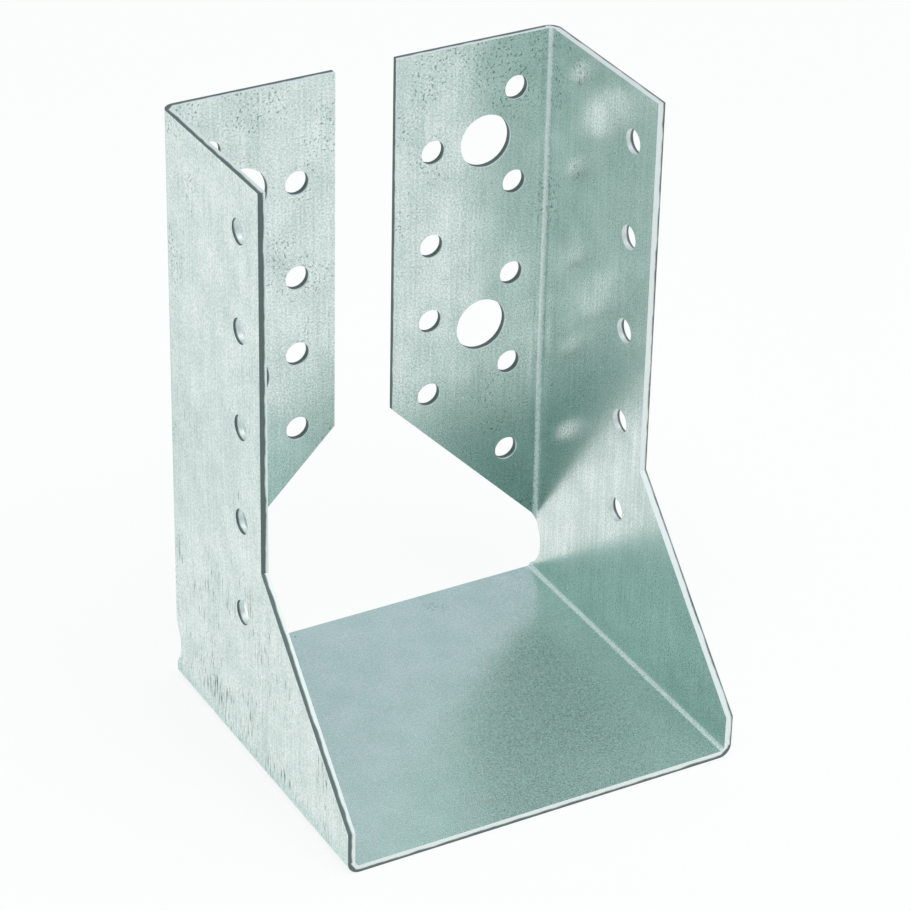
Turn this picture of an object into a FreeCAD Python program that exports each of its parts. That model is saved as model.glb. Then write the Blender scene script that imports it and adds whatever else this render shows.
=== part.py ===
import FreeCAD, Part
import os
import Sketcher

# Joist hanger with concealed flanges, punched and folded from one steel sheet, in millimetres.
# X runs across the joist, +Y points to the header that carries the hanger, +Z is up.
# The origin is under the middle of the seat, on the surface that the hanger stands on.

NODE = "hanger_body"

# Driving dimensions: name, value and meaning.
SIZES = (
    ("inside_width", 80, "clear width between the sides, which takes the joist"),
    ("inside_height", 122, "height of the sides above the seat"),
    ("seat_depth", 75, "depth of the seat from front to back"),
    ("side_depth", 40, "depth of the upper part of the sides, flange included"),
    ("sheet_thickness", 1.5, "thickness of the sheet"),
    ("bend_radius", 1, "inner radius of every bend"),
    ("neutral_share", 0.4, "share of the thickness from the inside of a bend to its unstretched layer"),
    ("kink_height", 44, "height above the seat where the sides start to widen"),
    ("lip_height", 7.5, "height above the seat of the upright lip at the front"),
    ("flange_gap", 13, "slot between the free edges of the flanges"),
    ("flange_end_height", 46.5, "height above the seat where the free edge of a flange ends"),
    ("flange_angle", 45, "slope of the lower edge of a flange in degrees"),
    ("relief_radius", 7, "radius of the relief hole where the bends meet"),
    ("relief_height", 7, "height of the relief hole's centre above the seat"),
    ("relief_depth", 3.8, "reach of the relief hole in front of the flange's back face"),
    ("nail_diameter", 5, "diameter of the nail holes"),
    ("nail_pitch", 20, "spacing of the nail holes down a column"),
    ("nail_rows", 5, "nail holes down a full column"),
    ("nail_margin", 11, "distance from the top edge to the first row of nails"),
    ("bend_column_inset", 7.5, "distance from the side to the nail column beside it on the flange"),
    ("edge_column_inset", 8, "distance from a flange's free edge to the nail column beside it"),
    ("edge_lower_pitch", 16.5, "closer spacing of the two lowest nails beside the free edge"),
    ("side_column_inset", 8, "distance from a side's front edge to its nail column"),
    ("bolt_diameter", 11, "diameter of the bolt holes"),
    ("bolt_pitch", 40, "vertical spacing of the bolt holes"),
    ("bolt_rows", 2, "bolt holes down a flange"),
    ("bolt_inset", 14, "distance from the side to the bolt holes on the flange"),
)

# Places worked out from the driving dimensions, measured along X.
INNER_FACE = "Sizes.inside_width / 2"
OUTER_FACE = f"{INNER_FACE} + Sizes.sheet_thickness"
BEND_START_X = f"{INNER_FACE} - Sizes.bend_radius"
FREE_EDGE = "Sizes.flange_gap / 2"
BEND_COLUMN = f"{INNER_FACE} - Sizes.bend_column_inset"
EDGE_COLUMN = f"{FREE_EDGE} + Sizes.edge_column_inset"
BOLT_COLUMN = f"{INNER_FACE} - Sizes.bolt_inset"

# Places measured along Y.
OUTER_RADIUS = "(Sizes.bend_radius + Sizes.sheet_thickness)"
BACK_FACE = "Sizes.seat_depth / 2"
FLANGE_FRONT = f"{BACK_FACE} - Sizes.sheet_thickness"
BEND_START_Y = f"{BACK_FACE} - {OUTER_RADIUS}"
SIDE_FRONT = f"{BACK_FACE} - Sizes.side_depth"
SEAT_FRONT = "-Sizes.seat_depth / 2"
RELIEF_Y = f"{BACK_FACE} - Sizes.relief_depth + Sizes.relief_radius"
SIDE_COLUMN = f"{SIDE_FRONT} + Sizes.side_column_inset"

# Places measured along Z.
SEAT_TOP = "Sizes.sheet_thickness"
TOP = f"{SEAT_TOP} + Sizes.inside_height"
KINK = f"{SEAT_TOP} + Sizes.kink_height"
LIP = f"{SEAT_TOP} + Sizes.lip_height"
RELIEF_Z = f"{SEAT_TOP} + Sizes.relief_height"
FLANGE_END = f"{SEAT_TOP} + Sizes.flange_end_height"
NAIL_TOP = f"{TOP} - Sizes.nail_margin"
OFFSET_TOP = f"{NAIL_TOP} - Sizes.nail_pitch / 2"

# The lower edge of a flange is straight in the flat sheet, so it keeps its slope round the bend.
SLOPE = "tan(Sizes.flange_angle)"
BEND_LENGTH = "(Sizes.bend_radius + Sizes.neutral_share * Sizes.sheet_thickness) * pi / 2"
BEND_RISE = f"{BEND_LENGTH} * {SLOPE}"
FLANGE_AT_BEND = f"{FLANGE_END} - ({BEND_START_X} - {FREE_EDGE}) * {SLOPE}"
SIDE_AT_BEND = f"{FLANGE_AT_BEND} - {BEND_RISE}"

ORIGIN = -1
START, END, CENTRE = 1, 2, 3
QUARTER_TURN = 0.25


def write_sizes(sheet):
    """Fill the sheet with the driving dimensions, one row each."""
    for row, (alias, value, meaning) in enumerate(SIZES, start=1):
        sheet.set(f"A{row}", meaning)
        sheet.set(f"B{row}", str(value))
        sheet.setAlias(f"B{row}", alias)


def bind(sketch, constraint, expression):
    """Add a constraint whose value follows an expression of the driving dimensions."""
    index = sketch.addConstraint(constraint)
    sketch.setExpression(f"Constraints[{index}]", expression)


def pin(sketch, geometry, end, across, up):
    """Hold one point of a sketch at a named place."""
    value = sketch.evalExpression
    bind(sketch, Sketcher.Constraint("DistanceX", ORIGIN, START, geometry, end, value(across)), across)
    bind(sketch, Sketcher.Constraint("DistanceY", ORIGIN, START, geometry, end, value(up)), up)


def new_sketch(body, name, role, offset="0"):
    """Make a sketch on one of the body's origin planes, moved along the plane's normal."""
    plane = next(item for item in body.Origin.OriginFeatures if item.Role == role)
    sketch = body.newObject("Sketcher::SketchObject", name)
    sketch.AttachmentSupport = [(plane, "")]
    sketch.MapMode = "FlatFace"
    sketch.setExpression("AttachmentOffset.Base.z", offset)
    return sketch


def draw_outline(sketch, corners, arcs=()):
    """Draw a closed outline of straight lines, with arcs given as start corner, radius and middle."""
    value = sketch.evalExpression
    places = [FreeCAD.Vector(value(across), value(up), 0) for across, up in corners]
    round_from = {start: (radius, middle) for start, radius, middle in arcs}
    for index, place in enumerate(places):
        following = places[(index + 1) % len(places)]
        sketch.addGeometry(Part.LineSegment(place, following))
        pin(sketch, index, START, *corners[index])
    for index, (radius, middle) in round_from.items():
        after = (index + 1) % len(places)
        centre = FreeCAD.Vector(value(middle[0]), value(middle[1]), 0)
        start = places[index] - centre
        towards = start + places[after] - centre
        towards.Length = value(radius)
        arc = sketch.addGeometry(Part.Arc(places[index], centre + towards, places[after]))
        sketch.toggleConstruction(index)
        bind(sketch, Sketcher.Constraint("Radius", arc, value(radius)), radius)
        first, last = sketch.getPoint(arc, START), sketch.getPoint(arc, END)
        forward = (first - places[index]).Length < (last - places[index]).Length
        sketch.addConstraint(Sketcher.Constraint("Coincident", arc, START if forward else END, index, START))
        sketch.addConstraint(Sketcher.Constraint("Coincident", arc, END if forward else START, after, START))
    for index in range(len(places)):
        after = (index + 1) % len(places)
        sketch.addConstraint(Sketcher.Constraint("Coincident", index, END, after, START))


def draw_circle(sketch, across, up, diameter):
    """Draw one hole at a named place."""
    value = sketch.evalExpression
    middle = FreeCAD.Vector(value(across), value(up), 0)
    hole = sketch.addGeometry(Part.Circle(middle, FreeCAD.Vector(0, 0, 1), value(diameter) / 2))
    pin(sketch, hole, CENTRE, across, up)
    bind(sketch, Sketcher.Constraint("Diameter", hole, value(diameter)), diameter)


def draw_axis(sketch, across, low, high):
    """Draw an upright construction line to turn about."""
    value = sketch.evalExpression
    ends = [FreeCAD.Vector(value(across), value(up), 0) for up in (low, high)]
    axis = sketch.addGeometry(Part.LineSegment(*ends), True)
    pin(sketch, axis, START, across, low)
    pin(sketch, axis, END, across, high)


def pad(body, name, sketch, length, symmetric=False):
    """Raise a sketch by a length, on one side of its plane or evenly on both."""
    feature = body.newObject("PartDesign::Pad", name)
    feature.Profile = sketch
    feature.SideType = "Symmetric" if symmetric else "One side"
    feature.setExpression("Length", length)
    body.Document.recompute()


def check_cut(body, name, before):
    """Stop if a cut has taken nothing away."""
    if not body.Shape.Volume < before:
        raise ValueError(f"{name} cuts nothing")


def cut_through(body, name, sketch, below_only=False):
    """Cut a sketch right through the body, on both sides of its plane or only below it."""
    before = body.Shape.Volume
    feature = body.newObject("PartDesign::Pocket", name)
    feature.Profile = sketch
    feature.Type = "ThroughAll"
    feature.SideType = "One side" if below_only else "Symmetric"
    body.Document.recompute()
    check_cut(body, name, before)
    return feature


def cut_round_bend(body, name, sketch, rise):
    """Carry a sketch a quarter turn round its axis while it rises, and cut away what it passes through."""
    body.Document.recompute()
    before = body.Shape.Volume
    feature = body.newObject("PartDesign::SubtractiveHelix", name)
    feature.Profile = sketch
    feature.ReferenceAxis = (sketch, ["Axis0"])
    feature.Mode = "height-turns-angle"
    feature.Turns = QUARTER_TURN
    feature.setExpression("Height", rise)
    body.Document.recompute()
    check_cut(body, name, before)


def repeat_down(body, name, feature, sketch, spacing, count):
    """Repeat a cut down its column."""
    pattern = body.newObject("PartDesign::LinearPattern", name)
    pattern.Originals = [feature]
    pattern.Direction = (sketch, ["V_Axis"])
    pattern.Reversed = True
    pattern.Mode = "Spacing"
    pattern.setExpression("Offset", spacing)
    pattern.setExpression("Occurrences", count)
    body.Tip = pattern
    body.Document.recompute()


def fold_channel(body):
    """Seat and right-hand side with the bend between them, as half of a channel."""
    profile = new_sketch(body, "ChannelProfile", "XZ_Plane")
    corners = (
        ("0", "0"),
        (BEND_START_X, "0"),
        (OUTER_FACE, OUTER_RADIUS),
        (OUTER_FACE, TOP),
        (INNER_FACE, TOP),
        (INNER_FACE, OUTER_RADIUS),
        (BEND_START_X, SEAT_TOP),
        ("0", SEAT_TOP),
    )
    middle = (BEND_START_X, OUTER_RADIUS)
    draw_outline(profile, corners, arcs=((1, OUTER_RADIUS, middle), (5, "Sizes.bend_radius", middle)))
    pad(body, "Channel", profile, "Sizes.seat_depth", symmetric=True)

    front = new_sketch(body, "FrontOutline", "YZ_Plane")
    draw_outline(front, ((SEAT_FRONT, LIP), (SIDE_FRONT, KINK), (SIDE_FRONT, TOP), (SEAT_FRONT, TOP)))
    cut_through(body, "FrontCut", front)


def cut_relief(body):
    """Relief hole where the bends would meet, and the rounded corner of the seat under it."""
    relief = new_sketch(body, "ReliefHole", "YZ_Plane")
    draw_circle(relief, RELIEF_Y, RELIEF_Z, "2 * Sizes.relief_radius")
    cut_through(body, "ReliefCut", relief)

    corner = new_sketch(body, "SeatCorner", "XY_Plane", offset=RELIEF_Z)
    draw_outline(
        corner, ((BEND_START_X, BACK_FACE), (OUTER_FACE, BEND_START_Y), (OUTER_FACE, BACK_FACE)),
        arcs=((0, OUTER_RADIUS, (BEND_START_X, BEND_START_Y)),))
    cut_through(body, "SeatCornerCut", corner, below_only=True)


def fold_flange(body):
    """Right-hand flange with its bend, which take the place of the side's flat back strip."""
    strip = new_sketch(body, "BackStrip", "YZ_Plane")
    draw_outline(strip, (
        (BEND_START_Y, RELIEF_Z), (BACK_FACE, RELIEF_Z), (BACK_FACE, TOP), (BEND_START_Y, TOP)))
    cut_through(body, "BackStripCut", strip)

    profile = new_sketch(body, "FlangeProfile", "XY_Plane", offset=SIDE_AT_BEND)
    corners = (
        (INNER_FACE, BEND_START_Y),
        (OUTER_FACE, BEND_START_Y),
        (BEND_START_X, BACK_FACE),
        (FREE_EDGE, BACK_FACE),
        (FREE_EDGE, FLANGE_FRONT),
        (BEND_START_X, FLANGE_FRONT),
    )
    middle = (BEND_START_X, BEND_START_Y)
    draw_outline(profile, corners, arcs=((1, OUTER_RADIUS, middle), (5, "Sizes.bend_radius", middle)))
    pad(body, "Flange", profile, f"{TOP} - ({SIDE_AT_BEND})")


def trim_flange(body):
    """Sloping lower edge of the flange, carried round the bend to the side."""
    slope = new_sketch(body, "FlangeSlope", "XZ_Plane")
    draw_outline(slope, (
        (FREE_EDGE, SIDE_AT_BEND), (BEND_START_X, SIDE_AT_BEND),
        (BEND_START_X, FLANGE_AT_BEND), (FREE_EDGE, FLANGE_END)))
    cut_through(body, "FlangeSlopeCut", slope)

    spare = "Sizes.bend_radius / 2"
    near = f"{BEND_START_X} + {spare}"
    far = f"{BEND_START_X} + {OUTER_RADIUS} + {spare}"
    under = f"{SIDE_AT_BEND} - {BEND_RISE} - {spare}"
    edge = new_sketch(body, "BendEdge", "XZ_Plane", offset=f"-({BEND_START_Y})")
    draw_outline(edge, ((near, under), (far, under), (far, SIDE_AT_BEND), (near, SIDE_AT_BEND)))
    draw_axis(edge, BEND_START_X, under, SIDE_AT_BEND)
    cut_round_bend(body, "BendEdgeCut", edge, BEND_RISE)


def punch_holes(body):
    """Nail and bolt holes of one flange and one side."""
    bend_column = new_sketch(body, "BendColumnNail", "XZ_Plane")
    draw_circle(bend_column, BEND_COLUMN, NAIL_TOP, "Sizes.nail_diameter")
    first = cut_through(body, "BendColumnCut", bend_column)
    repeat_down(body, "BendColumn", first, bend_column, "Sizes.nail_pitch", "Sizes.nail_rows")

    edge_column = new_sketch(body, "EdgeColumnNails", "XZ_Plane")
    second = f"{OFFSET_TOP} - Sizes.nail_pitch"
    third = f"{second} - Sizes.edge_lower_pitch"
    for height in (OFFSET_TOP, second, third, f"{third} - Sizes.edge_lower_pitch"):
        draw_circle(edge_column, EDGE_COLUMN, height, "Sizes.nail_diameter")
    cut_through(body, "EdgeColumnCut", edge_column)

    bolt = new_sketch(body, "BoltHole", "XZ_Plane")
    draw_circle(bolt, BOLT_COLUMN, OFFSET_TOP, "Sizes.bolt_diameter")
    first = cut_through(body, "BoltCut", bolt)
    repeat_down(body, "Bolts", first, bolt, "Sizes.bolt_pitch", "Sizes.bolt_rows")

    side_column = new_sketch(body, "SideNail", "YZ_Plane")
    draw_circle(side_column, SIDE_COLUMN, NAIL_TOP, "Sizes.nail_diameter")
    first = cut_through(body, "SideNailCut", side_column)
    repeat_down(body, "SideColumn", first, side_column, "Sizes.nail_pitch", "Sizes.nail_rows")


def mirror_half(body):
    """The left half mirrors the right half across the middle of the seat."""
    mirror = body.newObject("PartDesign::Mirrored", "LeftHalf")
    mirror.TransformMode = "Whole shape"
    plane = next(item for item in body.Origin.OriginFeatures if item.Role == "YZ_Plane")
    mirror.MirrorPlane = (plane, [""])
    body.Tip = mirror
    body.Document.recompute()


def check(document, body):
    """Stop if any object failed or the folded sheet is not one valid solid."""
    for item in document.Objects:
        if "Invalid" in item.State or "Error" in item.State:
            raise ValueError(f"{item.Name} failed")
    if body.Shape.isNull() or not body.Shape.isValid() or len(body.Shape.Solids) != 1:
        raise ValueError(f"{body.Label} is not one valid solid")


document = FreeCAD.newDocument("joist_hanger")
sizes = document.addObject("Spreadsheet::Sheet", "Sizes")
write_sizes(sizes)
document.recompute()

hanger = document.addObject("PartDesign::Body", "HangerBody")
hanger.Label = NODE
fold_channel(hanger)
cut_relief(hanger)
fold_flange(hanger)
trim_flange(hanger)
punch_holes(hanger)
mirror_half(hanger)
document.recompute()
check(document, hanger)

os.makedirs("parts", exist_ok=True)
hanger.Shape.exportStep(f"parts/{hanger.Label}.step")
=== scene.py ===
import math

import bmesh
import bpy
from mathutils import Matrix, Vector


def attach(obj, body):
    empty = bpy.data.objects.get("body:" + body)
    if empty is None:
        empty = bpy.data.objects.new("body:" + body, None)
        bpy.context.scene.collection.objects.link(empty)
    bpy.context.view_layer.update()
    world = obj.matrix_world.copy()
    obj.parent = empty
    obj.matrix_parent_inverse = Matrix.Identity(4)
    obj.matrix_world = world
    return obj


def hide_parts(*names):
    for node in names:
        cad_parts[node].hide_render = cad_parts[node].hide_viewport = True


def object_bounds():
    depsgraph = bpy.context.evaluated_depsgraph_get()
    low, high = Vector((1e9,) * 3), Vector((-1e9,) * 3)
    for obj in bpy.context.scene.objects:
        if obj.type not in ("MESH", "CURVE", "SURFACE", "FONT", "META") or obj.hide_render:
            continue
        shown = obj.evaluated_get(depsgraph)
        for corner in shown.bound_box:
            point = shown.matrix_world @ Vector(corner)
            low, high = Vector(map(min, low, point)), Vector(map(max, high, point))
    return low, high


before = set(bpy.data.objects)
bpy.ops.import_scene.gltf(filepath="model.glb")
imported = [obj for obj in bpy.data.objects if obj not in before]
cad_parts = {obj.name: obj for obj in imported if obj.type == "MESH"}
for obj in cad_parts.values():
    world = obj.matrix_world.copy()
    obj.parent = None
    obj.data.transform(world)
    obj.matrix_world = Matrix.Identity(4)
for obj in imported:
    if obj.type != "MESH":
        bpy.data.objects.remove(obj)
CAD_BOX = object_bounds()
LOW, HIGH = (Vector(corner) for corner in CAD_BOX)

bl_info = {
    "name": "Joist hanger",
    "version": (1, 0, 0),
    "blender": (4, 5, 0),
    "location": "View3D > Sidebar > Hanger",
    "description": "Folded galvanised joist hanger with sheared edges, on a white studio floor",
    "category": "Object",
}

MM = 0.001

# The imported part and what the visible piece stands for.
NODE = "hanger_body"
BODY = "root"
PIECE = "hanger_sheet"

# Order of the materials on the sheet.
COATED, BARE = range(2)

# Zones of the folded sheet, kept on its faces while it is dressed.
INSIDE, OUTSIDE, SHEARED, PUNCHED, ROLLED, BROKEN = range(6)
SKINS = (INSIDE, OUTSIDE)
CUTS = (SHEARED, PUNCHED)
ZONE_LAYER = "zone"

# Share of the sheet's thickness at which the points of a zone lie, from the inside.
# A point where several zones meet takes the first of them.
DEPTHS = {INSIDE: 0.0, OUTSIDE: 1.0, ROLLED: 0.2, BROKEN: 0.87, SHEARED: 0.5, PUNCHED: 0.5}
DEPTH_LAYER = "shear_depth"

# How much further each cut is torn, as a share of the thickness, which widens its dark torn band.
# The flanges and the left side are torn more, and their upright edges most. The walls of the holes are
# darkened this way, on the flanges most: partly their torn band, partly painted shade inside the holes.
EDGE_TEAR, WIDE_TEAR, WIDE_UPRIGHT_TEAR = 0.0, 0.2, 0.32
SEAT_FRONT_TEAR, SEAT_BACK_TEAR = 0.12, 0.9
SIDE_HOLE_TEAR_AND_SHADE, FLANGE_HOLE_TEAR_AND_SHADE = 0.06, 0.35

# Cuts of the seat end at the first height, and upright edges start above the second.
SEAT_END, UPRIGHT_START = 3 * MM, 40 * MM

# A fold reaches this far in from the outside of the part: the sheet's thickness and the inner radius.
FOLD_REACH = 2.5 * MM

# Folds are told from flat skin by their slant, which is greatest in their middle.
FOLD_LAYER = "fold"
MIDDLE_SLANT = math.sqrt(0.5)

# Points closer than this are one point, and corners this close to a split lie on it.
MERGE_DISTANCE, SPLIT_DISTANCE = 0.001 * MM, 0.01 * MM

# Faces that meet at less than the first angle are one flat face, and at less than the second one skin or
# one cut. Under the third they look smooth.
FLAT_ANGLE, SKIN_ANGLE, SMOOTH_ANGLE = math.radians(0.5), math.radians(40), math.radians(35)

# The walls of a punched hole face all ways, so their facing adds up to less than this share of their area.
RING_FACING = 0.1

# A roll-over is round and a break-out is one slant.
ROLL_OVER_SEGMENTS, BREAK_OUT_SEGMENTS = 3, 1

# The flat faces lead when normals are evened out.
FLATS_LEAD = 100

# Sizes of the marks in the coat, in millimetres. The real grain is finer than a pixel, so it is drawn as
# coarse as it needs to show.
GRAIN_WIDTH = 0.4
CLOUD_WIDTH = 7
DRAWN_WIDTH, DRAWN_LENGTH = 0.6, 20
PIT_WIDTH, PIT_CLUSTER = 0.6, 10
SCUFF_WIDTH, SCUFF_LENGTH, SCUFF_GROUP = 0.5, 4, 12

# Weight of the clouds and the grain beside the drawing marks, and the middle of what they add up to.
CLOUD_WEIGHT, GRAIN_WEIGHT = 1.2, 2.8
TONE_MIDDLE = (CLOUD_WEIGHT + GRAIN_WEIGHT + 1) / 2

# Sizes of the marks on a sheared edge, in millimetres.
BORDER_WANDER = 4
GRIT_WIDTH = 0.3

# Sockets of a Mix node that mixes colours.
MIX_SHARE, MIX_FROM, MIX_TO, MIXED = 0, 6, 7, 2

# The floor reaches this far each way, in metres. The width of the camera's sensor is in millimetres.
FLOOR_REACH = 30.0
SENSOR_WIDTH = 36.0
CAMERA_NEAR = 10 * MM


def linear(code):
    """Turn an sRGB hex colour into linear red, green and blue."""
    parts = [int(code[place:place + 2], 16) / 255 for place in (1, 3, 5)]
    return tuple(part / 12.92 if part <= 0.04045 else ((part + 0.055) / 1.055) ** 2.4 for part in parts)


def opaque(colour):
    """Add full opacity to a colour."""
    return (*colour, 1.0)


def add(tree, kind, sockets=(), **settings):
    """Add a node with its settings, and set its sockets or link them to other sockets."""
    node = tree.nodes.new(kind)
    for name, value in settings.items():
        setattr(node, name, value)
    for key, value in dict(sockets).items():
        if isinstance(value, bpy.types.NodeSocket):
            tree.links.new(value, node.inputs[key])
        else:
            node.inputs[key].default_value = value
    return node


class SheetSettings(bpy.types.PropertyGroup):
    """Finish of the folded sheet."""

    roll_over: bpy.props.FloatProperty(
        name="Roll-over", description="Rounding where the punch entered, on the inside",
        default=0.3 * MM, unit="LENGTH", subtype="DISTANCE")
    break_out: bpy.props.FloatProperty(
        name="Break-out", description="Slanted edge where the sheet broke away, on the outside",
        default=0.2 * MM, unit="LENGTH", subtype="DISTANCE")
    zinc: bpy.props.FloatVectorProperty(
        name="Zinc", description="Colour of the clean zinc coat",
        size=3, subtype="COLOR", default=linear("#ebf4f1"))
    dull_zinc: bpy.props.FloatVectorProperty(
        name="Dull zinc", description="Colour of the coat where it is greyed",
        size=3, subtype="COLOR", default=linear("#c4d6d1"))
    speck: bpy.props.FloatVectorProperty(
        name="Specks", description="Colour of the pits and dirt in the coat",
        size=3, subtype="COLOR", default=linear("#6a7f79"))
    matt_zinc: bpy.props.FloatVectorProperty(
        name="Matt zinc", description="Colour of the matt coat on the seat",
        size=3, subtype="COLOR", default=linear("#b6e3da"))
    # Crazed zinc is near white, so in the middle of the folds it is also a painted highlight along them.
    crazed_zinc_and_highlight: bpy.props.FloatVectorProperty(
        name="Crazed zinc", description="Colour of the coat where the folds cracked it",
        size=3, subtype="COLOR", default=linear("#fbfefd"))
    burnish: bpy.props.FloatVectorProperty(
        name="Burnished edge", description="Colour of the smooth band of a sheared edge",
        size=3, subtype="COLOR", default=linear("#f2f8f6"))
    fracture: bpy.props.FloatVectorProperty(
        name="Broken edge", description="Colour of the torn band of a sheared edge",
        size=3, subtype="COLOR", default=linear("#6c7a77"))
    roughness: bpy.props.FloatProperty(
        name="Roughness", description="Blur of the coat's reflections",
        default=0.25, subtype="FACTOR")
    spring_back: bpy.props.FloatProperty(
        name="Spring-back", description="How far the flanges sprang open, as their reflections show",
        default=math.radians(4), unit="ROTATION", subtype="ANGLE")


class StageSettings(bpy.types.PropertyGroup):
    """Floor, light and camera."""

    floor: bpy.props.FloatVectorProperty(
        name="Floor", description="Colour of the studio floor",
        size=3, subtype="COLOR", default=linear("#ffffff"))
    # Painted shade on the floor, seen only in the metal: at the left front, on the camera's side, and
    # behind the hanger, where its shadow falls.
    floor_shade: bpy.props.FloatVectorProperty(
        name="Shaded floor", description="Colour of the floor at the left front and behind, in the metal",
        size=3, subtype="COLOR", default=linear("#cfdedb"))
    room: bpy.props.FloatVectorProperty(
        name="Walls", description="Colour of the studio walls",
        size=3, subtype="COLOR", default=linear("#c6c8d2"))
    left_wall: bpy.props.FloatVectorProperty(
        name="Left wall", description="Colour of the wall on the left",
        size=3, subtype="COLOR", default=linear("#a8c0be"))
    ceiling: bpy.props.FloatVectorProperty(
        name="Ceiling", description="Colour of the studio ceiling",
        size=3, subtype="COLOR", default=linear("#f8ffff"))
    dark_side: bpy.props.FloatVectorProperty(
        name="Dark side", description="Colour of the room at the left front",
        size=3, subtype="COLOR", default=linear("#3a6861"))
    lamp_power: bpy.props.FloatProperty(
        name="Lamp power", description="Power of the lamp overhead",
        default=8.0, unit="POWER")
    lamp_width: bpy.props.FloatProperty(
        name="Lamp width", description="Width of the round lamp overhead",
        default=1.2, unit="LENGTH", subtype="DISTANCE")
    lamp_place: bpy.props.FloatVectorProperty(
        name="Lamp place", description="Where the lamp overhead hangs",
        size=3, unit="LENGTH", subtype="TRANSLATION", default=(-0.1, -0.4, 1.4))
    camera_place: bpy.props.FloatVectorProperty(
        name="Camera place", description="Where the camera stands",
        size=3, unit="LENGTH", subtype="TRANSLATION", default=(-0.28950, -0.51172, 0.40528))
    camera_target: bpy.props.FloatVectorProperty(
        name="Camera target", description="Point in the middle of the picture",
        size=3, unit="LENGTH", subtype="TRANSLATION", default=(0.00064, 0.00036, 0.05806))
    camera_roll: bpy.props.FloatProperty(
        name="Camera roll", description="Turn of the camera about its view",
        default=math.radians(1.26), unit="ROTATION", subtype="ANGLE")
    lens: bpy.props.FloatProperty(
        name="Lens", description="Focal length on a 36 mm wide sensor",
        default=143.87, unit="CAMERA")


def merged_copy(node):
    """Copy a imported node's loose triangles into one closed mesh with few faces."""
    mesh = bmesh.new()
    mesh.from_mesh(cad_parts[node].data)
    bmesh.ops.remove_doubles(mesh, verts=mesh.verts, dist=MERGE_DISTANCE)
    bmesh.ops.dissolve_limit(mesh, verts=mesh.verts, edges=mesh.edges, angle_limit=FLAT_ANGLE)
    return mesh


def split_at_folds(mesh):
    """Cut the flat faces where the folds start, so that each cut face lies on one flat or one fold."""
    inset = Vector((FOLD_REACH,) * 3)
    left_and_bottom, right_and_back = LOW + inset, HIGH - inset
    for place, way in (
            (left_and_bottom, (1, 0, 0)), (right_and_back, (1, 0, 0)),
            (right_and_back, (0, 1, 0)), (left_and_bottom, (0, 0, 1))):
        bmesh.ops.bisect_plane(
            mesh, geom=mesh.verts[:] + mesh.edges[:] + mesh.faces[:], dist=SPLIT_DISTANCE,
            plane_co=place, plane_no=way)


def smooth_patches(mesh):
    """Group the faces that run smoothly into each other, largest group first."""
    patches, seen = [], set()
    for first in mesh.faces:
        if first in seen:
            continue
        patch, waiting = [], [first]
        seen.add(first)
        while waiting:
            face = waiting.pop()
            patch.append(face)
            for edge in face.edges:
                if edge.calc_face_angle(math.pi) < SKIN_ANGLE:
                    fresh = [other for other in edge.link_faces if other not in seen]
                    seen.update(fresh)
                    waiting.extend(fresh)
        patches.append(patch)
    return sorted(patches, key=lambda patch: -sum(face.calc_area() for face in patch))


def mark_zones(mesh):
    """Tell the two skins of the sheet from its sheared outline and its punched holes."""
    zone = mesh.faces.layers.int.new(ZONE_LAYER)
    fold = mesh.faces.layers.float.new(FOLD_LAYER)
    patches = smooth_patches(mesh)
    if len(patches) <= len(SKINS):
        raise RuntimeError("The skins of the sheet can't be told from its cut edges")
    skins, cuts = patches[:len(SKINS)], patches[len(SKINS):]
    skins.sort(key=lambda patch: -min(face.calc_center_median().z for face in patch))
    for mark, patch in zip(SKINS, skins):
        for face in patch:
            face[zone] = mark
            face[fold] = (1 - max(abs(part) for part in face.normal)) / (1 - MIDDLE_SLANT)
    for patch in cuts:
        area = sum(face.calc_area() for face in patch)
        facing = sum((face.normal * face.calc_area() for face in patch), Vector())
        for face in patch:
            face[zone] = PUNCHED if facing.length < RING_FACING * area else SHEARED
    return zone


def soften_rims(mesh, zone, skin, mark, width, segments):
    """Bevel the rims between one skin and the cut edges."""
    rims = []
    for edge in mesh.edges:
        zones = {face[zone] for face in edge.link_faces}
        if skin in zones and zones.intersection(CUTS):
            rims.append(edge)
    made = bmesh.ops.bevel(
        mesh, geom=rims, offset=width, offset_type="OFFSET", segments=segments, profile=0.5,
        affect="EDGES", clamp_overlap=True, material=-1)
    for face in made["faces"]:
        face[zone] = mark


def tear(face, zone):
    """Give how much further a cut face is torn, which differs between the holes and edges of the sheet."""
    place = face.calc_center_median()
    on_flange = place.y > HIGH.y - FOLD_REACH and abs(place.x) < HIGH.x - FOLD_REACH
    # Hole walls are torn further, which darkens them: partly their torn band, partly painted shade inside
    # the holes.
    if PUNCHED in {other[zone] for edge in face.edges for other in edge.link_faces}:
        return FLANGE_HOLE_TEAR_AND_SHADE if on_flange else SIDE_HOLE_TEAR_AND_SHADE
    if place.z < SEAT_END:
        faces_back = face.normal.y > 0.2
        return SEAT_BACK_TEAR if faces_back else SEAT_FRONT_TEAR
    on_left_side = place.x < LOW.x + FOLD_REACH
    if not (on_flange or on_left_side):
        return EDGE_TEAR
    upright = place.z > UPRIGHT_START and face.normal.z < 0.5
    return WIDE_UPRIGHT_TEAR if upright else WIDE_TEAR


def mark_depth(mesh, zone):
    """Note on the corners of each face how far through the sheet they lie, with the tear added."""
    depth = mesh.loops.layers.float.new(DEPTH_LAYER)
    for face in mesh.faces:
        coated = face[zone] in SKINS
        further = 0.0 if coated else tear(face, zone)
        for corner in face.loops:
            zones = {face[zone]} if coated else {other[zone] for other in corner.vert.link_faces}
            corner[depth] = further + next(share for mark, share in DEPTHS.items() if mark in zones)


def keep_in_box(mesh):
    """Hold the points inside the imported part's box."""
    for point in mesh.verts:
        point.co = [min(max(part, LOW[axis]), HIGH[axis]) for axis, part in enumerate(point.co)]


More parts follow.
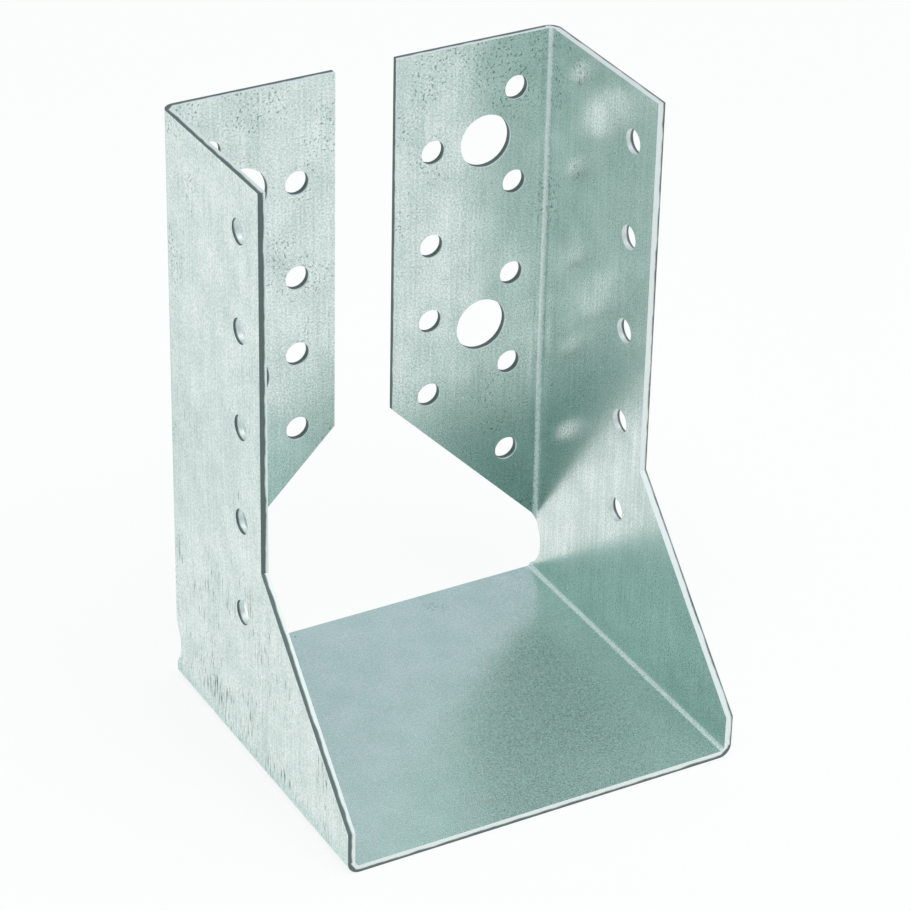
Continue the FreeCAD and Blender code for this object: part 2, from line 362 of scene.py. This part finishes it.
def settle_order(mesh):
    """Put the faces in the order of their points, because bmesh leaves them in another order each run."""
    mesh.verts.index_update()
    faces = sorted(mesh.faces, key=lambda face: [point.index for point in face.verts])
    for rank, face in enumerate(faces):
        face.index = rank
    mesh.faces.sort()


def dressed_sheet(settings):
    """Make the mesh of the folded sheet, with softened rims and with its zones, folds and depths marked."""
    mesh = merged_copy(NODE)
    split_at_folds(mesh)
    zone = mark_zones(mesh)
    soften_rims(mesh, zone, OUTSIDE, BROKEN, settings.break_out, BREAK_OUT_SEGMENTS)
    soften_rims(mesh, zone, INSIDE, ROLLED, settings.roll_over, ROLL_OVER_SEGMENTS)
    mark_depth(mesh, zone)
    keep_in_box(mesh)
    settle_order(mesh)
    for face in mesh.faces:
        face.material_index = COATED if face[zone] in SKINS else BARE
        face.smooth = True
    for edge in mesh.edges:
        edge.smooth = edge.calc_face_angle(math.pi) < SMOOTH_ANGLE
    data = bpy.data.meshes.new(PIECE)
    mesh.to_mesh(data)
    mesh.free()
    return data


def bare_material(name):
    """Make a material whose node tree is still empty."""
    material = bpy.data.materials.new(name)
    material.use_nodes = True
    material.node_tree.nodes.clear()
    return material


def place_in_mm(tree):
    """Give the place on a piece in millimetres."""
    place = add(tree, "ShaderNodeTexCoord").outputs["Object"]
    return add(tree, "ShaderNodeVectorMath", {0: place, 1: (1 / MM,) * 3}, operation="MULTIPLY").outputs[0]


def coat_tone(tree, in_mm):
    """Draw the grain, the clouds and the marks of drawing, and give the first two and the sum of all."""
    grain = add(tree, "ShaderNodeTexNoise", {
        "Vector": in_mm, "Scale": 1 / GRAIN_WIDTH, "Detail": 2.0}).outputs[0]
    cloud = add(tree, "ShaderNodeTexNoise", {
        "Vector": in_mm, "Scale": 1 / CLOUD_WIDTH, "Detail": 3.0}).outputs[0]
    drawn = add(tree, "ShaderNodeMapping", {
        "Vector": in_mm, "Scale": (1 / DRAWN_WIDTH, 1 / DRAWN_WIDTH, 1 / DRAWN_LENGTH)}).outputs[0]
    tone = add(tree, "ShaderNodeTexNoise", {"Vector": drawn, "Scale": 1.0, "Detail": 2.0}).outputs[0]
    for pattern, weight in ((cloud, CLOUD_WEIGHT), (grain, GRAIN_WEIGHT)):
        tone = add(tree, "ShaderNodeMath", {
            0: pattern, 1: weight, 2: tone}, operation="MULTIPLY_ADD").outputs[0]
    return grain, cloud, tone


def flange_pits(tree, in_mm, back, up):
    """Draw pits in clusters, most of them high on the flanges."""
    # Pits come in between these heights and these places towards the flanges, in millimetres.
    pits_start, pits_full = 70.0, 120.0
    flange_near, flange_reached = 20.0, 35.0
    gathering, strength = 0.14, 0.7

    # Only the peaks of the two patterns become pits and clusters.
    pit = add(tree, "ShaderNodeTexNoise", {
        "Vector": in_mm, "Scale": 1 / PIT_WIDTH, "Detail": 1.0}).outputs[0]
    pit = add(tree, "ShaderNodeMapRange", {"Value": pit, "From Min": 0.59, "From Max": 0.66}).outputs[0]
    cluster = add(tree, "ShaderNodeTexNoise", {
        "Vector": in_mm, "Scale": 1 / PIT_CLUSTER, "Detail": 3.0}).outputs[0]
    higher = add(tree, "ShaderNodeMapRange", {
        "Value": up, "From Min": pits_start, "From Max": pits_full, "To Max": gathering}).outputs[0]
    nearer = add(tree, "ShaderNodeMapRange", {
        "Value": back, "From Min": flange_near, "From Max": flange_reached,
        "To Min": -gathering, "To Max": 0.0}).outputs[0]
    for more in (higher, nearer):
        cluster = add(tree, "ShaderNodeMath", {0: cluster, 1: more}, operation="ADD").outputs[0]
    cluster = add(tree, "ShaderNodeMapRange", {
        "Value": cluster, "From Min": 0.57, "From Max": 0.67}).outputs[0]
    pits = add(tree, "ShaderNodeMath", {0: pit, 1: cluster}, operation="MULTIPLY").outputs[0]
    return add(tree, "ShaderNodeMath", {0: pits, 1: strength}, operation="MULTIPLY").outputs[0]


def press_scuffs(tree, in_mm, up, depth):
    """Draw upright scuffs from the press in groups, most of them low on the outside."""
    # Scuffs thin out between these heights, in millimetres.
    scuffed_end, clean_start = 4.0, 45.0
    pressed = add(tree, "ShaderNodeMapping", {
        "Vector": in_mm, "Scale": (1 / SCUFF_WIDTH, 1 / SCUFF_WIDTH, 1 / SCUFF_LENGTH)}).outputs[0]
    scuff = add(tree, "ShaderNodeTexNoise", {"Vector": pressed, "Scale": 1.0, "Detail": 3.0}).outputs[0]
    group = add(tree, "ShaderNodeTexNoise", {
        "Vector": in_mm, "Scale": 1 / SCUFF_GROUP, "Detail": 1.0}).outputs[0]
    lower = add(tree, "ShaderNodeMapRange", {
        "Value": up, "From Min": scuffed_end, "From Max": clean_start,
        "To Min": 0.11, "To Max": -0.02}).outputs[0]
    group = add(tree, "ShaderNodeMath", {0: group, 1: 0.48, 2: lower}, operation="MULTIPLY_ADD").outputs[0]
    scuff = add(tree, "ShaderNodeMath", {0: scuff, 1: group}, operation="ADD").outputs[0]
    scuff = add(tree, "ShaderNodeMapRange", {"Value": scuff, "From Min": 0.9, "From Max": 1.05}).outputs[0]
    return add(tree, "ShaderNodeMath", {0: scuff, 1: depth}, operation="MULTIPLY").outputs[0]


def matt_seat(tree, up, grain):
    """Give how matt the coat is on the seat, where the press held the sheet, and the grain shows most."""
    # The seat's skin ends between these heights, in millimetres.
    seat_end, side_start = 2.0, 5.0
    on_seat = add(tree, "ShaderNodeMapRange", {
        "Value": up, "From Min": seat_end, "From Max": side_start, "To Min": 1.0, "To Max": 0.0}).outputs[0]
    matt_grain = add(tree, "ShaderNodeMapRange", {
        "Value": grain, "From Min": 0.3, "From Max": 0.7, "To Min": 0.12, "To Max": 0.6}).outputs[0]
    return add(tree, "ShaderNodeMath", {0: on_seat, 1: matt_grain}, operation="MULTIPLY").outputs[0]


def crazed_folds_and_highlight(tree, fold, grain):
    """Give how much the folds cracked the coat, most in their middle, which also paints their highlight."""
    cracked = add(tree, "ShaderNodeMapRange", {
        "Value": grain, "From Min": 0.4, "From Max": 0.55, "To Min": 0.5, "To Max": 1.0}).outputs[0]
    middle = add(tree, "ShaderNodeMapRange", {"Value": fold, "From Min": 0.02, "From Max": 0.3}).outputs[0]
    return add(tree, "ShaderNodeMath", {0: middle, 1: cracked}, operation="MULTIPLY").outputs[0]


def sprung_flanges(tree, across, up, depth, angle):
    """Tilt what the flanges mirror, because they sprang open after folding."""
    # The bend's distance from the middle and the heights at which the seat gives way, in millimetres.
    bend_start = 38.0
    seat_end, flange_start = 5.0, 8.0
    width = add(tree, "ShaderNodeMath", {0: across}, operation="ABSOLUTE").outputs[0]
    opened = add(tree, "ShaderNodeMapRange", {
        "Value": width, "From Min": bend_start, "From Max": 0.0,
        "To Max": bend_start * math.tan(angle)}).outputs[0]
    above_seat = add(tree, "ShaderNodeMapRange", {
        "Value": up, "From Min": seat_end, "From Max": flange_start}).outputs[0]
    facing = add(tree, "ShaderNodeMapRange", {"Value": depth, "To Min": -1.0, "To Max": 1.0}).outputs[0]
    for share in (above_seat, facing):
        opened = add(tree, "ShaderNodeMath", {0: opened, 1: share}, operation="MULTIPLY").outputs[0]
    return add(tree, "ShaderNodeBump", {"Height": opened, "Strength": 1.0, "Distance": MM}).outputs[0]


def galvanised_steel(settings):
    """Hot-dip galvanised sheet, rolled smooth after the bath.

    The coat gives a satin mirror with a faint green cast, a fine grain that sparkles, soft cloudy patches,
    faint drawing marks up the sides, pits that gather near the top, scuffs low on the outside, a matt seat
    and folds where the coat cracked, whose near-white middles are also a painted highlight along them.
    """
    material = bare_material("galvanised_steel")
    tree = material.node_tree
    in_mm = place_in_mm(tree)
    across, back, up = add(tree, "ShaderNodeSeparateXYZ", {0: in_mm}).outputs
    depth = add(tree, "ShaderNodeAttribute", attribute_name=DEPTH_LAYER).outputs["Fac"]
    fold = add(tree, "ShaderNodeAttribute", attribute_name=FOLD_LAYER).outputs["Fac"]

    grain, cloud, tone = coat_tone(tree, in_mm)
    pits = flange_pits(tree, in_mm, back, up)
    scuffs = press_scuffs(tree, in_mm, up, depth)
    dirt = add(tree, "ShaderNodeMath", {0: pits, 1: scuffs}, operation="MAXIMUM").outputs[0]
    matt = matt_seat(tree, up, grain)
    # Painted highlight: the fold middles turn near white and matt, partly cracked coat, partly the
    # highlight along them.
    crazed_and_highlight = crazed_folds_and_highlight(tree, fold, grain)

    dull = add(tree, "ShaderNodeMapRange", {
        "Value": tone, "From Min": TONE_MIDDLE - 0.5, "From Max": TONE_MIDDLE + 0.5}).outputs[0]
    coat = opaque(settings.zinc)
    for share, colour in (
            (dull, settings.dull_zinc), (dirt, settings.speck),
            (matt, settings.matt_zinc), (crazed_and_highlight, settings.crazed_zinc_and_highlight)):
        coat = add(tree, "ShaderNodeMix", {
            MIX_SHARE: share, MIX_FROM: coat, MIX_TO: opaque(colour)}, data_type="RGBA").outputs[MIXED]

    rough = add(tree, "ShaderNodeMapRange", {
        "Value": tone, "From Min": TONE_MIDDLE - 0.6, "From Max": TONE_MIDDLE + 0.6,
        "To Min": settings.roughness - 0.06, "To Max": settings.roughness + 0.06}).outputs[0]
    rough = add(tree, "ShaderNodeMath", {0: fold, 1: 0.12, 2: rough}, operation="MULTIPLY_ADD").outputs[0]

    bump = sprung_flanges(tree, across, up, depth, settings.spring_back)
    for height, strength, rise in ((cloud, 0.2, 0.05 * MM), (tone, 0.5, 0.008 * MM)):
        bump = add(tree, "ShaderNodeBump", {
            "Height": height, "Strength": strength, "Distance": rise, "Normal": bump}).outputs[0]

    dimmed = add(tree, "ShaderNodeMath", {0: matt, 1: crazed_and_highlight}, operation="MAXIMUM").outputs[0]
    mirror = add(tree, "ShaderNodeMath", {0: 1.0, 1: dimmed}, operation="SUBTRACT").outputs[0]
    surface = add(tree, "ShaderNodeBsdfPrincipled", {
        "Base Color": coat, "Metallic": mirror, "Roughness": rough, "Normal": bump}).outputs[0]
    add(tree, "ShaderNodeOutputMaterial", {"Surface": surface})
    return material


def sheared_edge(settings):
    """Bare edge of punched steel sheet.

    The punch leaves a bright burnished band on the inside, and the rest tears off in a dull grey fracture.
    The border of the two wanders. Both are finely scored, so they scatter part of the light.
    """
    material = bare_material("sheared_edge")
    tree = material.node_tree
    in_mm = place_in_mm(tree)
    depth = add(tree, "ShaderNodeAttribute", attribute_name=DEPTH_LAYER).outputs["Fac"]
    wander = add(tree, "ShaderNodeTexNoise", {
        "Vector": in_mm, "Scale": 1 / BORDER_WANDER, "Detail": 2.0}).outputs[0]
    grit = add(tree, "ShaderNodeTexNoise", {
        "Vector": in_mm, "Scale": 1 / GRIT_WIDTH, "Detail": 2.0}).outputs[0]
    border = add(tree, "ShaderNodeMath", {0: wander, 1: 0.3, 2: depth}, operation="MULTIPLY_ADD").outputs[0]
    torn = add(tree, "ShaderNodeMapRange", {"Value": border, "From Min": 0.8, "From Max": 0.93}).outputs[0]
    colour = add(tree, "ShaderNodeMix", {
        MIX_SHARE: torn, MIX_FROM: opaque(settings.burnish), MIX_TO: opaque(settings.fracture)},
        data_type="RGBA").outputs[MIXED]
    rough = add(tree, "ShaderNodeMapRange", {"Value": torn, "To Min": 0.45, "To Max": 0.55}).outputs[0]
    height = add(tree, "ShaderNodeMath", {0: grit, 1: torn}, operation="MULTIPLY").outputs[0]
    bump = add(tree, "ShaderNodeBump", {
        "Height": height, "Strength": 0.5, "Distance": 0.04 * MM}).outputs[0]
    surface = add(tree, "ShaderNodeBsdfPrincipled", {
        "Base Color": colour, "Metallic": 0.6, "Roughness": rough, "Normal": bump}).outputs[0]
    add(tree, "ShaderNodeOutputMaterial", {"Surface": surface})
    return material


class HANGER_OT_sheet(bpy.types.Operator):
    """Dress the folded sheet with softened rims, a zinc coat and sheared edges"""

    bl_idname = "hanger.sheet"
    bl_label = "Folded sheet"

    def execute(self, context):
        settings = context.scene.hanger_sheet
        data = dressed_sheet(settings)
        data.materials.append(galvanised_steel(settings))
        data.materials.append(sheared_edge(settings))
        piece = bpy.data.objects.new(PIECE, data)
        context.scene.collection.objects.link(piece)
        even = piece.modifiers.new("Even normals", "WEIGHTED_NORMAL")
        even.weight = FLATS_LEAD
        even.keep_sharp = True
        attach(piece, BODY)
        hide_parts(NODE)
        return {"FINISHED"}


def painted_floor_shading(tree, place):
    """Give how much painted shade the floor gets at the left front of the hanger, on the camera's side, and
    behind it, where the hanger's shadow falls.
    """
    left_front_way = (-0.7, -0.7, 0.0)
    front_start, front_full = 60 * MM, 110 * MM
    behind_start, behind_full = 80 * MM, 120 * MM
    left_end, left_full = -100 * MM, -60 * MM
    forward = add(tree, "ShaderNodeVectorMath", {0: place, 1: left_front_way}, operation="DOT_PRODUCT")
    front = add(tree, "ShaderNodeMapRange", {
        "Value": forward.outputs["Value"], "From Min": front_start, "From Max": front_full}).outputs[0]
    across, back, _ = add(tree, "ShaderNodeSeparateXYZ", {0: place}).outputs
    beside = add(tree, "ShaderNodeMapRange", {
        "Value": across, "From Min": left_end, "From Max": left_full, "To Max": 0.85}).outputs[0]
    behind = add(tree, "ShaderNodeMapRange", {
        "Value": back, "From Min": behind_start, "From Max": behind_full}).outputs[0]
    behind = add(tree, "ShaderNodeMath", {0: behind, 1: beside}, operation="MULTIPLY").outputs[0]
    return add(tree, "ShaderNodeMath", {0: front, 1: behind}, operation="MAXIMUM").outputs[0]


def floor_paint(settings):
    """White painted studio floor, matt, so white to the camera that only a pale shadow shows on it.

    In the metal it is a little greyer from painted shade, at the left front on the camera's side and behind
    the hanger, where its shadow falls.
    """
    camera_glow, mirrored_glow = 0.85, 0.8
    material = bare_material("white_studio_floor")
    tree = material.node_tree
    light = add(tree, "ShaderNodeLightPath").outputs
    mirrored = add(tree, "ShaderNodeMath", {
        0: light["Is Glossy Ray"], 1: light["Is Transmission Ray"]}, operation="MAXIMUM").outputs[0]
    glow = add(tree, "ShaderNodeMath", {0: mirrored, 1: mirrored_glow}, operation="MULTIPLY").outputs[0]
    glow = add(tree, "ShaderNodeMath", {
        0: light["Is Camera Ray"], 1: camera_glow, 2: glow}, operation="MULTIPLY_ADD").outputs[0]
    place = add(tree, "ShaderNodeTexCoord").outputs["Object"]
    # Painted shade, for the metal's reflections only.
    shade = add(tree, "ShaderNodeMath", {
        0: painted_floor_shading(tree, place), 1: mirrored}, operation="MULTIPLY").outputs[0]
    colour = add(tree, "ShaderNodeMix", {
        MIX_SHARE: shade, MIX_FROM: opaque(settings.floor), MIX_TO: opaque(settings.floor_shade)},
        data_type="RGBA").outputs[MIXED]
    paint = add(tree, "ShaderNodeBsdfDiffuse", {"Color": colour}).outputs[0]
    white = add(tree, "ShaderNodeEmission", {"Color": colour, "Strength": 1.0}).outputs[0]
    surface = add(tree, "ShaderNodeMixShader", {0: glow, 1: paint, 2: white}).outputs[0]
    add(tree, "ShaderNodeOutputMaterial", {"Surface": surface})
    return material


def floor_plane(settings):
    """Make the studio floor."""
    mesh = bmesh.new()
    bmesh.ops.create_grid(mesh, x_segments=1, y_segments=1, size=FLOOR_REACH)
    data = bpy.data.meshes.new("studio_floor")
    mesh.to_mesh(data)
    mesh.free()
    data.materials.append(floor_paint(settings))
    return bpy.data.objects.new("studio_floor", data)


def studio_room(settings):
    """Make the walls and ceiling of the studio.

    Pale walls stand under a white ceiling that comes lower at the front. They are greener on the left, and
    dark at the left front.
    """
    overhead_way, left_front_way = (0.0, -0.35, 0.94), (-0.42, -0.75, 0.51)
    room = bpy.data.worlds.new("studio_room")
    room.use_nodes = True
    tree = room.node_tree
    tree.nodes.clear()
    way = add(tree, "ShaderNodeTexCoord").outputs["Generated"]
    across = add(tree, "ShaderNodeSeparateXYZ", {0: way}).outputs[0]
    height = add(tree, "ShaderNodeVectorMath", {0: way, 1: overhead_way}, operation="DOT_PRODUCT")
    forward = add(tree, "ShaderNodeVectorMath", {0: way, 1: left_front_way}, operation="DOT_PRODUCT")
    colour = opaque(settings.room)
    for reach, start, full, paint in (
            (across, 0.2, -0.4, settings.left_wall),
            (height.outputs["Value"], 0.6, 0.95, settings.ceiling),
            (forward.outputs["Value"], 0.75, 0.95, settings.dark_side)):
        share = add(tree, "ShaderNodeMapRange", {
            "Value": reach, "From Min": start, "From Max": full}).outputs[0]
        colour = add(tree, "ShaderNodeMix", {
            MIX_SHARE: share, MIX_FROM: colour, MIX_TO: opaque(paint)}, data_type="RGBA").outputs[MIXED]
    walls = add(tree, "ShaderNodeBackground", {"Color": colour}).outputs[0]
    add(tree, "ShaderNodeOutputWorld", {"Surface": walls})
    return room


def overhead_softbox(settings):
    """Make the round lamp overhead, turned to the hanger."""
    data = bpy.data.lights.new("overhead_softbox", "AREA")
    data.shape = "DISK"
    data.size = settings.lamp_width
    data.energy = settings.lamp_power
    lamp = bpy.data.objects.new("overhead_softbox", data)
    lamp.location = settings.lamp_place
    lamp.rotation_euler = Vector(settings.lamp_place).to_track_quat("Z", "Y").to_euler()
    return lamp


def studio_camera(settings):
    """Make the camera, at the photograph's viewing angle."""
    data = bpy.data.cameras.new("camera")
    data.lens = settings.lens
    data.sensor_width = SENSOR_WIDTH
    data.clip_start = CAMERA_NEAR
    camera = bpy.data.objects.new("camera", data)
    place, target = Vector(settings.camera_place), Vector(settings.camera_target)
    camera.location = place
    camera.rotation_euler = (target - place).to_track_quat("-Z", "Y").to_euler()
    camera.rotation_euler.rotate_axis("Z", settings.camera_roll)
    return camera


class HANGER_OT_stage(bpy.types.Operator):
    """Set up the white floor, the light and the camera"""

    bl_idname = "hanger.stage"
    bl_label = "Studio stage"

    def execute(self, context):
        scene = context.scene
        settings = scene.hanger_stage
        floor, lamp, camera = floor_plane(settings), overhead_softbox(settings), studio_camera(settings)
        for thing in (floor, lamp, camera):
            scene.collection.objects.link(thing)
        scene.world = studio_room(settings)
        scene.camera = camera
        scene.view_settings.view_transform = "Standard"
        return {"FINISHED"}


class HANGER_PT_panel(bpy.types.Panel):
    """Sidebar panel that lists the pieces and their settings"""

    bl_idname = "HANGER_PT_panel"
    bl_label = "Joist hanger"
    bl_space_type = "VIEW_3D"
    bl_region_type = "UI"
    bl_category = "Hanger"

    def draw(self, context):
        scene = context.scene
        for operator, settings in (
                (HANGER_OT_sheet, scene.hanger_sheet), (HANGER_OT_stage, scene.hanger_stage)):
            box = self.layout.box()
            box.operator(operator.bl_idname)
            for name in settings.bl_rna.properties.keys():
                if name not in ("rna_type", "name"):
                    box.prop(settings, name)


CLASSES = (SheetSettings, StageSettings, HANGER_OT_sheet, HANGER_OT_stage, HANGER_PT_panel)


def register():
    for item in CLASSES:
        bpy.utils.register_class(item)
    bpy.types.Scene.hanger_sheet = bpy.props.PointerProperty(type=SheetSettings)
    bpy.types.Scene.hanger_stage = bpy.props.PointerProperty(type=StageSettings)


def unregister():
    del bpy.types.Scene.hanger_stage
    del bpy.types.Scene.hanger_sheet
    for item in reversed(CLASSES):
        bpy.utils.unregister_class(item)


def main():
    register()
    bpy.ops.hanger.sheet()
    bpy.ops.hanger.stage()


if __name__ == "__main__":
    main()
